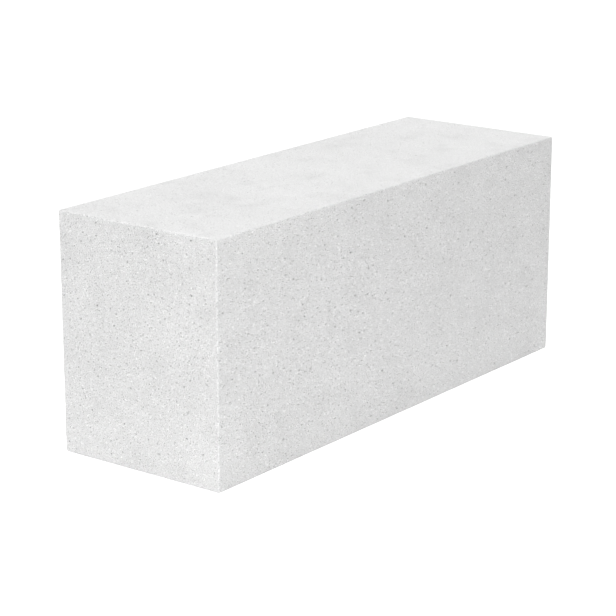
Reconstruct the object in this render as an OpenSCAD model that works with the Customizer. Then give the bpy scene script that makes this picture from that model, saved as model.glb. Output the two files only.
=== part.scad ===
// Plain aerated concrete block: one foamed, wire-cut and steam-cured solid with flat faces,
// plain ends and lightly eased edges. It stands on its bed face, as it is laid in a wall.
// Millimetres, +Z up, +X along the length, origin at the middle of the lower bed face.

/* [Block] */
// Length along the wall, from end to end
block_length = 600; // [300:5:650]
// Width, which is the thickness of the wall that it builds
block_width = 200; // [50:5:500]
// Height of one course, from bed to bed
block_height = 250; // [150:5:400]

/* [Arrises] */
// Radius of the rounding that handling leaves along the edges where two faces meet
arris_radius = 1.5; // [0.5:0.25:8]

/* [Hidden] */
concrete_colour = [0.86, 0.86, 0.86];
// Enough sides for a smooth quarter turn on an arris
$fn = 48;

// Rectangle about the origin whose corners are quarter circles: two crossed rectangles
// leave the corners open, and a circle fills each one.
module eased_rectangle(across, along, radius) {
    square([across - 2 * radius, along], center = true);
    square([across, along - 2 * radius], center = true);
    for (side = [-1, 1], end = [-1, 1])
        translate([side * (across / 2 - radius), end * (along / 2 - radius)])
            circle(r = radius);
}

// Prism about the origin with four eased edges along Z
module eased_prism(across, along, tall, radius) {
    linear_extrude(height = tall, center = true)
        eased_rectangle(across, along, radius);
}

// The block: what three prisms share, each of which eases the four edges along one axis.
// At a corner the three roundings meet in mitres.
module block() {
    color(concrete_colour)
        translate([0, 0, block_height / 2])
            intersection() {
                eased_prism(block_length, block_width, block_height, arris_radius);
                rotate([90, 0, 0])
                    eased_prism(block_length, block_height, block_width, arris_radius);
                rotate([0, 90, 0])
                    eased_prism(block_height, block_width, block_length, arris_radius);
            }
}

block();
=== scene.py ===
import bpy
import numpy as np
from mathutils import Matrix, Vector


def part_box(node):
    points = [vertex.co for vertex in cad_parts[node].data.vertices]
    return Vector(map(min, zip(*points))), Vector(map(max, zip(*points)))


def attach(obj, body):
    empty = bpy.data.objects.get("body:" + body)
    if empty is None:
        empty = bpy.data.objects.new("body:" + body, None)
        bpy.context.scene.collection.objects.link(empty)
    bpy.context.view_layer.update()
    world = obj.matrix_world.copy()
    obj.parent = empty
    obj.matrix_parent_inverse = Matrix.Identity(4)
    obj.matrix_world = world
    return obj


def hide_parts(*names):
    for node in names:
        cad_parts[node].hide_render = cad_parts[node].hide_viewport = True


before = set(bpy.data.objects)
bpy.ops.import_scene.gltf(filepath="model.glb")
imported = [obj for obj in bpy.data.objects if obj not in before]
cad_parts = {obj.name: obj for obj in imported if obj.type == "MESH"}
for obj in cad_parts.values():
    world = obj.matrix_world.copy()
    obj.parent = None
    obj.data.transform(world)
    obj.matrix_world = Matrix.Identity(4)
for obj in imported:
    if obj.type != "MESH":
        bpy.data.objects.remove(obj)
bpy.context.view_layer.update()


# The block is one piece of aerated concrete: a slurry that foams up in a mould, is cut with
# wires while it is still soft, and is then steamed hard. The wires cut its bubbles open, so
# pores pit every face, and handling has rounded the arrises, where two faces meet.

low, high = np.array(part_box("block"))
middle = (low + high) / 2
half = (high - low) / 2

# Facets are counted from a flat to the middle of an arris. Handling has worn the arrises flat
# by a depth that wanders along them in ripples between two lengths.
arris_radius = 0.0015
arris_facets = 3
arris_wear, wear_most = 0.00012, 0.00028
wear_lengths = (0.008, 0.06)

# Every face is a grid of lines, with pores at some of the crossings. A higher rarity makes large
# pores rarer. Depth and wobble are shares of a pore's radius, stray is a share of the line gap,
# and no other pore stands within the reach, in lines. Bubbles are longest along the block.
line_gap = 0.0027
pore_least, pore_most = 0.0007, 0.0014
pore_rarity = 3
pore_shallow, pore_deep = 0.60, 0.85
pore_stray = 0.50
pore_wobble = 0.10
pore_reach = 2
bubble_draw = np.array([1.7, 1.25, 1.0])

# The lines drift sideways in ripples between two lengths, and settle down towards an arris.
line_drift = 0.0030
drift_lengths = (0.06, 0.15)
drift_taper = 0.03

chance = np.random.default_rng(31)
flat = half - arris_radius
flat_lines = np.round(2 * flat / line_gap).astype(int)
margin = arris_facets + 1


def grid_lines(axis):
    """Distances from the block's middle at which grid lines cross one axis. They are evenly spread
    over the flat. Over an arris they are the tangents of even angles up to 45 degrees, where the
    next face takes over."""
    steps = flat_lines[axis]
    on_flat = ((np.arange(steps) + 0.5) / steps * 2 - 1) * flat[axis]
    over_arris = arris_radius * np.tan(np.linspace(0, np.pi / 4, margin))
    return np.concatenate([-flat[axis] - over_arris[::-1], on_flat, flat[axis] + over_arris])


lines = [grid_lines(axis) for axis in range(3)]
counts = [len(cuts) for cuts in lines]


def ripple(points, shortest, longest, waves=16):
    """An even, wandering height at each point, about one unit deep: the mean of plane waves whose
    directions, starts and lengths are drawn by lot, scaled up to keep its spread."""
    heading = chance.normal(size=(waves, 3))
    heading /= np.linalg.norm(heading, axis=1, keepdims=True)
    length = chance.uniform(shortest, longest, waves)
    start = chance.uniform(0, 2 * np.pi, waves)
    phase = points @ (2 * np.pi * heading / length[:, None]).T + start
    return np.sin(phase).sum(axis=-1) * np.sqrt(2 / waves)


def highest_near(values):
    """The highest of the values within a pore's reach of each grid point."""
    window = (2 * pore_reach + 1, 2 * pore_reach + 1)
    padded = np.pad(values, pore_reach)
    return np.lib.stride_tricks.sliding_window_view(padded, window).max(axis=(2, 3))


def pore_places(rows, columns):
    """Rows and columns of the pores on a grid, drawn by lot, with room for a rim round each. Every
    point that is clear of the arrises draws a number, and the highest within reach takes a pore.
    Its neighbours are then out of the draw, which is held again until no point is left in it."""
    edge = margin + 1
    lots = 1 - chance.random((rows, columns))
    lots = np.pad(lots[edge:-edge, edge:-edge], edge)
    taken = np.zeros((rows, columns), bool)
    while lots.any():
        drawn = (lots > 0) & (lots == highest_near(lots))
        taken |= drawn
        lots[highest_near(drawn)] = 0
    return np.nonzero(taken)


def cut_pores(grid, across, along):
    """Cuts the pores of one face into its grid, and gives each point's depth in a pore and the
    number of the pore that it rims, or -1. A pore takes three by three points: eight move onto a
    rim round a stray centre, at the bubble's radius each way times a wobble, and the ninth is
    the pore's bottom."""
    row, column = pore_places(*grid.shape[:2])
    pores = len(row)
    size = pore_least + (pore_most - pore_least) * chance.random(pores) ** pore_rarity
    depth = size * chance.uniform(pore_shallow, pore_deep, pores)
    swing = chance.uniform(0, 2 * np.pi, pores)
    stray = pore_stray * line_gap * np.sqrt(chance.random(pores))
    wobble = 1 + pore_wobble * chance.uniform(-1, 1, (pores, 3, 3))
    step = np.array([-1, 0, 1])
    steps = np.stack(np.meshgrid(step, step, indexing="ij"), axis=-1)
    compass = steps / np.maximum(np.linalg.norm(steps, axis=-1), 1)[..., None]
    ringed = (row[:, None, None] + steps[..., 0], column[:, None, None] + steps[..., 1])
    for turn, way in enumerate((across, along)):
        centre = grid[row, column, way] + stray * (np.cos(swing), np.sin(swing))[turn]
        radius = (size * bubble_draw[way])[:, None, None] * wobble
        grid[(*ringed, way)] = centre[:, None, None] + radius * compass[..., turn]

    sink = np.zeros(grid.shape[:2])
    sink[row, column] = depth
    rim = np.full(grid.shape[:2], -1)
    rim[ringed] = np.arange(pores)[:, None, None]
    rim[row, column] = -1
    return sink, rim


def let_lines_drift(grid, across, along):
    """Moves the points of one face sideways by a ripple each way. The ripples are full in the
    middle of the face and fall evenly to nothing over the last stretch before each arris."""
    taper = np.ones(grid.shape[:2])
    for way in (across, along):
        taper *= np.clip((flat[way] - np.abs(grid[..., way])) / drift_taper, 0, 1)
    drift = [line_drift * taper * ripple(grid, *drift_lengths) for _ in range(2)]
    grid[..., across] += drift[0]
    grid[..., along] += drift[1]


def cut_face(axis, side):
    """One face of the block as a grid of points, with each point's place on the flat, its depth in
    a pore, the pore that it rims and its way outwards. Points past the flats are drawn in onto an
    arris: each lies one arris radius from the nearest point of the box that the flats enclose."""
    across, along = (axis + 1) % 3, (axis + 2) % 3
    grid = np.zeros((counts[across], counts[along], 3))
    grid[..., axis] = side * half[axis]
    grid[..., across] = lines[across][:, None]
    grid[..., along] = lines[along][None, :]
    sink, rim = cut_pores(grid, across, along)
    let_lines_drift(grid, across, along)
    place = grid[..., [across, along]]

    core = np.clip(grid, -flat, flat)
    outward = grid - core
    outward /= np.linalg.norm(outward, axis=-1, keepdims=True)
    grid = core + arris_radius * outward
    grid[..., axis] -= side * sink
    return grid, place, sink, rim, outward


def face_keys(axis, side):
    """A number for each point of one face, from the three grid lines that cross there, so that
    faces which meet in an arris number the points on it alike."""
    line = [None, None, None]
    line[axis] = 0 if side < 0 else counts[axis] - 1
    line[(axis + 1) % 3] = np.arange(counts[(axis + 1) % 3])[:, None]
    line[(axis + 2) % 3] = np.arange(counts[(axis + 2) % 3])[None, :]
    return (line[0] * counts[1] + line[1]) * counts[2] + line[2]


def face_quads(sink, side):
    """The four-sided faces of one grid as places in its flattened points, turned outwards. Inside
    a pore each one is split along the line from the pore's bottom to its rim, so its first point
    is on that line."""
    place = np.arange(sink.size).reshape(sink.shape)
    quads = np.stack([place[:-1, :-1], place[1:, :-1], place[1:, 1:], place[:-1, 1:]], axis=-1)
    other_split = (sink[1:, :-1] > 0) | (sink[:-1, 1:] > 0)
    quads = np.where(other_split[..., None], np.roll(quads, -1, axis=-1), quads)
    if side < 0:
        quads = quads[..., [0, 3, 2, 1]]
    return quads.reshape(-1, 4)


# The map lays the two sides and the two beds in one column and the two ends in another, with a
# gap round each.
map_gap = 0.004
map_column = 2 * half[0] + 2 * map_gap
map_size = np.array([2 * (half[0] + half[1]) + 3 * map_gap,
                     4 * (half[1] + half[2]) + 5 * map_gap])


def map_corner(axis, side):
    """Lower corner of one face on the map, in metres of the map."""
    stacked = 0 if side < 0 else 1
    if axis == 0:
        return np.array([map_column, map_gap + stacked * (2 * half[2] + map_gap)])
    rise = map_gap + stacked * (2 * (half[1] + half[2]) + 2 * map_gap)
    if axis == 1:
        return np.array([map_gap, rise])
    return np.array([map_gap, rise + 2 * half[2] + map_gap])


def face_map(axis, side, place):
    """Each point of one face on the map, as shares of the map's size: its place on the flat, turned
    as the face is seen from outside, and then moved so that the face starts at its corner."""
    ways = [(axis + 1) % 3, (axis + 2) % 3]
    order = [1, 0] if axis == 1 else [0, 1]
    seen = np.array([-side if axis == 1 else side, 1])
    spot = place[..., order] * seen + half[ways][order] + map_corner(axis, side)
    return spot / map_size


def wear_arrises(points, outward):
    """Wears the arrises flat. A point's ridge is how far it stands out along the diagonal between
    its faces: the arris radius times the sum of its way's parts, over the root of two. What stands
    past the radius less the wear is taken off along that diagonal. The wear is a middling depth
    times one plus a ripple, kept between nothing and the most."""
    ridge = arris_radius * np.abs(outward).sum(axis=1) / np.sqrt(2)
    worn = np.clip(arris_wear * (1 + ripple(points, *wear_lengths)), 0, wear_most)
    loss = np.maximum(ridge - (arris_radius - worn), 0)
    facing = np.sign(outward)
    return points - (loss * np.sqrt(2) / np.abs(facing).sum(axis=1))[:, None] * facing


def block_mesh():
    """All six faces in one closed mesh: points with the same key are one point. Edges along the
    rim of a pore are sharp. The finish reads three marks: pore is the depth in a pore as a share
    of the largest radius, bed is how level the surface is, and the third, the mask of a painted
    highlight, is 1 in the middle of an upright arris at the low end of X, and fades along the
    block and towards the flats."""
    faces = []
    total = 0
    for axis in range(3):
        for side in (-1, 1):
            grid, place, sink, rim, outward = cut_face(axis, side)
            faces.append((grid.reshape(-1, 3), outward.reshape(-1, 3), sink.reshape(-1),
                          np.where(rim < 0, -1, rim + total).reshape(-1),
                          face_keys(axis, side).reshape(-1),
                          face_map(axis, side, place).reshape(-1, 2),
                          face_quads(sink, side) + total))
            total += sink.size
    points, outward, sink, rim, keys, spots, quads = map(np.concatenate, zip(*faces))
    _, first, number = np.unique(keys, return_index=True, return_inverse=True)
    outward = outward[first]
    vertices = wear_arrises(points[first], outward)

    arris = (1 - np.abs(outward).max(axis=1)) / (1 - np.sqrt(0.5))
    upright = np.clip(1 - np.sqrt(2) * np.abs(outward[:, 2]), 0, 1)
    toward_low_end = np.clip(0.5 - vertices[:, 0] / (2 * half[0]), 0, 1)
    # The third mark carries a painted highlight on the front upright arris.
    marks = {"pore": sink[first] / pore_most,
             "arris_highlight": arris * upright * toward_low_end,
             "bed": np.abs(outward[:, 2])}

    mesh = bpy.data.meshes.new("block_skin")
    mesh.from_pydata((vertices + middle).tolist(), [], number[quads].tolist())
    mesh.shade_smooth()
    ends = np.empty(2 * len(mesh.edges), int)
    mesh.edges.foreach_get("vertices", ends)
    ends = rim[first][ends.reshape(-1, 2)]
    sharp = mesh.attributes.new("sharp_edge", "BOOLEAN", "EDGE")
    sharp.data.foreach_set("value", (ends[:, 0] == ends[:, 1]) & (ends[:, 0] >= 0))
    for name, values in marks.items():
        mark = mesh.attributes.new(name, "FLOAT", "POINT")
        mark.data.foreach_set("value", values.astype(np.float32))
    layout = mesh.uv_layers.new(name="OFBake")
    layout.data.foreach_set("uv", spots[quads].reshape(-1).astype(np.float32))
    return mesh


def add_node(tree, kind, inputs, **settings):
    """Puts a node in a tree. Each input is named or numbered, and holds a value or a link."""
    node = tree.nodes.new(kind)
    for name, value in settings.items():
        setattr(node, name, value)
    for name, value in inputs.items():
        if isinstance(value, bpy.types.NodeSocket):
            tree.links.new(value, node.inputs[name])
        else:
            node.inputs[name].default_value = value
    return node


def math_node(tree, operation, first, second=0.0):
    """The output of one arithmetic node."""
    return add_node(tree, "ShaderNodeMath", {0: first, 1: second}, operation=operation).outputs[0]


# Parts of a bubble, as shares of its radius: its painted shade is full on its bottom, and a
# crumbled lip reaches from inside its edge to outside it. No radius is less than a speck of
# dust, so that nothing is divided by nought.
bottom_share = 0.2
lip_inner, lip_outer = 0.7, 1.8
dust_radius = 0.00001


def cut_bubbles():
    """A node group for bubbles that a wire has cut open. Each Voronoi cell holds one ball with a
    radius drawn by lot, and the face cuts it where the distance to its middle is less than that.
    A least radius below nought leaves some cells empty. Shade, the mask of painted shade in the
    bubble's hollow, rises from 0 at the cut's edge to 1 near its middle, Lip is 1 on the crumbled
    ring around it, and Hollow is the depth of a bowl, in metres: what the square of the distance
    leaves of the square of the radius, over the radius."""
    group = bpy.data.node_groups.new("Cut bubbles", "ShaderNodeTree")
    for name, kind in (("Vector", "Vector"), ("Cells per metre", "Float"),
                       ("Least radius", "Float"), ("Most radius", "Float")):
        group.interface.new_socket(name, in_out="INPUT", socket_type="NodeSocket" + kind)
    for name in ("Shade", "Lip", "Hollow"):
        group.interface.new_socket(name, in_out="OUTPUT", socket_type="NodeSocketFloat")
    given = group.nodes.new("NodeGroupInput").outputs
    cells = add_node(group, "ShaderNodeTexVoronoi",
                     {"Vector": given["Vector"], "Scale": given["Cells per metre"]})
    lot = add_node(group, "ShaderNodeSeparateColor", {0: cells.outputs["Color"]}).outputs["Red"]
    drawn = add_node(group, "ShaderNodeMapRange",
                     {"Value": lot, "To Min": given["Least radius"],
                      "To Max": given["Most radius"]}).outputs["Result"]
    radius = math_node(group, "MAXIMUM", drawn, dust_radius)
    distance = math_node(group, "DIVIDE", cells.outputs["Distance"], given["Cells per metre"])

    def fade(outer, inner):
        """Rises smoothly from 0 at one share of the radius to 1 at another."""
        return add_node(group, "ShaderNodeMapRange",
                        {"Value": distance, "From Min": math_node(group, "MULTIPLY", radius, outer),
                         "From Max": math_node(group, "MULTIPLY", radius, inner)},
                        interpolation_type="SMOOTHSTEP").outputs["Result"]

    shade = fade(1.0, bottom_share)
    lip = math_node(group, "SUBTRACT", fade(lip_outer, 1.0), fade(1.0, lip_inner))
    left = math_node(group, "SUBTRACT", math_node(group, "MULTIPLY", radius, radius),
                     math_node(group, "MULTIPLY", distance, distance))
    hollow = math_node(group, "DIVIDE", math_node(group, "MAXIMUM", left, 0.0), radius)
    add_node(group, "NodeGroupOutput", {"Shade": shade, "Lip": lip, "Hollow": hollow})
    return group


# The concrete's own tone is a share of full white. It is dry and open, so it hardly shines.
concrete_tone = 0.604
concrete_gloss = 0.25
least_rough, most_rough = 0.82, 0.98
relief_strength = 0.7

# Clouds, grain and smears are noises, with waves per metre and a detail. Most of a noise lies in
# the noise span, and a smear shows where its noise is in the smear span or past it.
noise_span = (0.25, 0.75)
clouds = (14.0, 3.0)
cloud_dark, cloud_light = 0.97, 1.03
fine_grain = (760.0, 2.0)
grain_tone = 0.17
grain_height = 0.0002
smears = (30.0, 3.0)
smear_span = (0.46, 0.74)
side_smear, bed_smear = -0.05, -0.06

# Bubbles and specks have cells per metre and a least and most radius. A mark's tone is the share
# that it adds to what lies under it, or takes away. The beds are smoother, so grain, bubbles and
# specks have only a share of their tone there.
middling_bubbles = (300.0, 0.0004, 0.0011)
small_bubbles = (620.0, 0.0003, 0.0008)
pale_specks = (380.0, -0.0006, 0.0010)
# Painted shade: how much darker the bubbles and the mesh's pores are painted at their bottoms.
middling_painted_shade, small_painted_shade, pore_painted_shade = -0.28, -0.36, -0.64
lip_tone = 0.14
speck_tone = 0.25
# A painted highlight: how much lighter the front upright arris is painted.
arris_highlight_tone = 0.15
bed_share = 0.5


def aerated_concrete():
    """The finish of the cut faces: a pale, dull matrix with clouds, smears and fine grain, small
    cut bubbles in two sizes between the large ones of the mesh, painted shade in the bubbles and
    in the mesh's pores, pale specks and a painted highlight on the front upright arris. Its tone
    is the concrete's own, times the clouds, times one plus each mark's mask times its tone. Its
    relief is the grain's height less the hollows of the small bubbles."""
    material = bpy.data.materials.new("cut_concrete")
    material.use_nodes = True
    tree = material.node_tree
    shader = tree.nodes["Principled BSDF"]
    place = tree.nodes.new("ShaderNodeTexCoord").outputs["Object"]
    bubbles = cut_bubbles()
    drawn_out = add_node(tree, "ShaderNodeMapping",
                         {"Vector": place, "Scale": 1 / bubble_draw}).outputs["Vector"]

    def bubble_family(per_metre, least, most):
        """The painted shade, the lips and the hollows of bubbles of one size, drawn out along the
        block.
        """
        family = add_node(tree, "ShaderNodeGroup",
                          {"Vector": drawn_out, "Cells per metre": per_metre,
                           "Least radius": least, "Most radius": most}, node_tree=bubbles)
        return family.outputs["Shade"], family.outputs["Lip"], family.outputs["Hollow"]

    def on_mesh(name):
        """One of the mesh's marks."""
        return add_node(tree, "ShaderNodeAttribute", {}, attribute_name=name).outputs["Fac"]

    def noise(per_metre, detail):
        """An even noise about one half."""
        return add_node(tree, "ShaderNodeTexNoise",
                        {"Vector": place, "Scale": per_metre, "Detail": detail}).outputs["Fac"]

    def ranged(value, span, start, end, **settings):
        """Goes from a start to an end while the value goes through a span, and stays there."""
        return add_node(tree, "ShaderNodeMapRange",
                        {"Value": value, "From Min": span[0], "From Max": span[1],
                         "To Min": start, "To Max": end}, **settings).outputs["Result"]

    def shaded(tone, mask, amount):
        """A tone times one plus a mask times an amount."""
        change = math_node(tree, "MULTIPLY", mask, amount)
        return math_node(tree, "MULTIPLY", tone, math_node(tree, "ADD", 1.0, change))

    bed = on_mesh("bed")
    faint = ranged(bed, (0.0, 1.0), 1.0, bed_share)
    grain = noise(*fine_grain)
    speckle = ranged(grain, noise_span, -grain_tone, grain_tone)
    smear = ranged(noise(*smears), smear_span, 0.0, 1.0, interpolation_type="SMOOTHSTEP")
    middling, middling_lip, middling_hollow = bubble_family(*middling_bubbles)
    small, small_lip, small_hollow = bubble_family(*small_bubbles)
    speck = bubble_family(*pale_specks)[0]

    tone = ranged(noise(*clouds), noise_span, cloud_dark, cloud_light)
    tone = shaded(tone, speckle, faint)
    tone = shaded(tone, smear, ranged(bed, (0.0, 1.0), side_smear, bed_smear))
    # The bubbles and the mesh's pores darken with painted shade towards their bottoms.
    for mask, amount in ((middling, middling_painted_shade), (small, small_painted_shade),
                         (middling_lip, lip_tone), (small_lip, lip_tone),
                         (speck, speck_tone), (on_mesh("pore"), pore_painted_shade)):
        tone = shaded(tone, mask, math_node(tree, "MULTIPLY", faint, amount))
    # Paints a highlight on the front upright arris.
    tone = shaded(tone, on_mesh("arris_highlight"), arris_highlight_tone)
    tone = math_node(tree, "MULTIPLY", tone, concrete_tone)
    tree.links.new(tone, shader.inputs["Base Color"])

    rough = ranged(grain, (0.0, 1.0), least_rough, most_rough)
    tree.links.new(rough, shader.inputs["Roughness"])
    height = math_node(tree, "MULTIPLY", grain, grain_height)
    height = math_node(tree, "SUBTRACT", height, middling_hollow)
    height = math_node(tree, "SUBTRACT", height, small_hollow)
    relief = add_node(tree, "ShaderNodeBump",
                      {"Height": height, "Distance": 1.0, "Strength": relief_strength})
    tree.links.new(relief.outputs["Normal"], shader.inputs["Normal"])
    shader.inputs["Specular IOR Level"].default_value = concrete_gloss
    return material


skin = bpy.data.objects.new("block_skin", block_mesh())
bpy.context.collection.objects.link(skin)
skin.data.materials.append(aerated_concrete())
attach(skin, "root")
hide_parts("block")


# The floor is a light table: a wide, even white sheet that glows, most of all round the block. The
# block stands on white with only a faint shadow, and its faces are lighter near the floor.

floor_side = 60.0
floor_drop = 0.0002
floor_tone = 0.90
floor_glow = 0.362
glow_reach = 0.40


def floor_mesh():
    """A level square about the block: every pairing of its two ends on X and Y."""
    ends = np.array([-1, 1]) * floor_side / 2
    x, y = np.meshgrid(ends, ends)
    points = np.stack([x, y, np.full_like(x, low[2] - floor_drop)], axis=-1).reshape(-1, 3)
    mesh = bpy.data.meshes.new("floor")
    mesh.from_pydata(points.tolist(), [], [(0, 1, 3, 2)])
    return mesh


def light_table():
    """Matt white with a glow that fades with the distance from the block: the square of what is
    left of the reach. The distance is the length of what lies past the block's box along each
    axis."""
    material = bpy.data.materials.new("light_table")
    material.use_nodes = True
    tree = material.node_tree
    shader = tree.nodes["Principled BSDF"]
    shader.inputs["Base Color"].default_value = (floor_tone, floor_tone, floor_tone, 1)
    shader.inputs["Roughness"].default_value = 1.0
    shader.inputs["Specular IOR Level"].default_value = 0.0
    shader.inputs["Emission Color"].default_value = (1, 1, 1, 1)

    def vector_node(operation, first, second=(0, 0, 0), output="Vector"):
        """An output of one vector arithmetic node."""
        return add_node(tree, "ShaderNodeVectorMath", {0: first, 1: second},
                        operation=operation).outputs[output]

    place = tree.nodes.new("ShaderNodeTexCoord").outputs["Object"]
    from_middle = vector_node("ABSOLUTE", vector_node("SUBTRACT", place, middle))
    past_box = vector_node("MAXIMUM", vector_node("SUBTRACT", from_middle, half))
    distance = vector_node("LENGTH", past_box, output="Value")
    left = add_node(tree, "ShaderNodeMapRange",
                    {"Value": distance, "From Min": glow_reach, "From Max": 0.0}).outputs["Result"]
    glow = math_node(tree, "MULTIPLY", math_node(tree, "POWER", left, 2.0), floor_glow)
    tree.links.new(glow, shader.inputs["Emission Strength"])
    return material


floor = bpy.data.objects.new("floor", floor_mesh())
bpy.context.collection.objects.link(floor)
floor.data.materials.append(light_table())


# The light is a white room that is brighter on the left, a wide ceiling light, and a soft box at
# the front that faces the near corner: the bed is lightest, the end is next, and the side falls
# off to the right.

room_level = 0.664
room_lean = (-0.450, 0.070, 0.0)
front_aim = np.array([low[0], low[1], middle[2]])
front_away = np.array([-0.22, -0.52, 0.295])
front_side = 0.3
front_strength = 0.18
ceiling_strength = 0.703
ceiling_spread = np.radians(50.0)


def white_room():
    """A world whose light is a level plus the part of a direction that lies along the lean. The
    camera itself sees plain white."""
    world = bpy.data.worlds.new("white_room")
    world.use_nodes = True
    tree = world.node_tree
    backdrop = tree.nodes["Background"]
    backdrop.inputs["Color"].default_value = (1, 1, 1, 1)
    direction = tree.nodes.new("ShaderNodeTexCoord").outputs["Generated"]
    leaning = add_node(tree, "ShaderNodeVectorMath", {0: direction, 1: room_lean},
                       operation="DOT_PRODUCT").outputs["Value"]
    light = math_node(tree, "ADD", leaning, room_level)
    seen = tree.nodes.new("ShaderNodeLightPath").outputs["Is Camera Ray"]
    tree.links.new(math_node(tree, "MAXIMUM", light, seen), backdrop.inputs["Strength"])
    return world


def soft_box(name, aim, away, side, strength):
    """A square lamp that stands away from a point and faces it. Strength is the light that a
    surface which faces the lamp gets at that point, as a share of full white, so the lamp's power
    is that times the square of its distance and of pi."""
    lamp = bpy.data.lights.new(name, "AREA")
    lamp.size = side
    lamp.energy = strength * np.pi ** 2 * float(away @ away)
    box = bpy.data.objects.new(name, lamp)
    box.location = aim + away
    box.rotation_euler = Vector(away).to_track_quat("Z", "Y").to_euler()
    box.visible_camera = False
    bpy.context.collection.objects.link(box)


def ceiling_light(name, strength, spread):
    """A far lamp straight overhead, as wide as its spread. Strength is the light that a level
    surface gets, as a share of full white, so the lamp's own is that times pi."""
    lamp = bpy.data.lights.new(name, "SUN")
    lamp.energy = strength * np.pi
    lamp.angle = spread
    bpy.context.collection.objects.link(bpy.data.objects.new(name, lamp))


bpy.context.scene.world = white_room()
soft_box("front_box", front_aim, front_away, front_side, front_strength)
ceiling_light("ceiling", ceiling_strength, ceiling_spread)


# The camera stands in front of the block's left end, and looks down on it past the corner where
# the end and the long side meet. Its place and lens were fitted to the photo's corners.

photo_side = 616
focal_pixels = 2185
film_width = 36.0
camera_place = (-1.809, -1.351, 0.745)
camera_yaw = np.radians(52.82)
camera_pitch = np.radians(15.97)

lens = bpy.data.cameras.new("camera")
lens.sensor_width = film_width
lens.lens = film_width * focal_pixels / photo_side
camera = bpy.data.objects.new("camera", lens)
camera.location = camera_place
camera.rotation_euler = (np.pi / 2 - camera_pitch, 0, -camera_yaw)
bpy.context.collection.objects.link(camera)
bpy.context.scene.camera = camera
bpy.context.scene.view_settings.view_transform = "Standard"
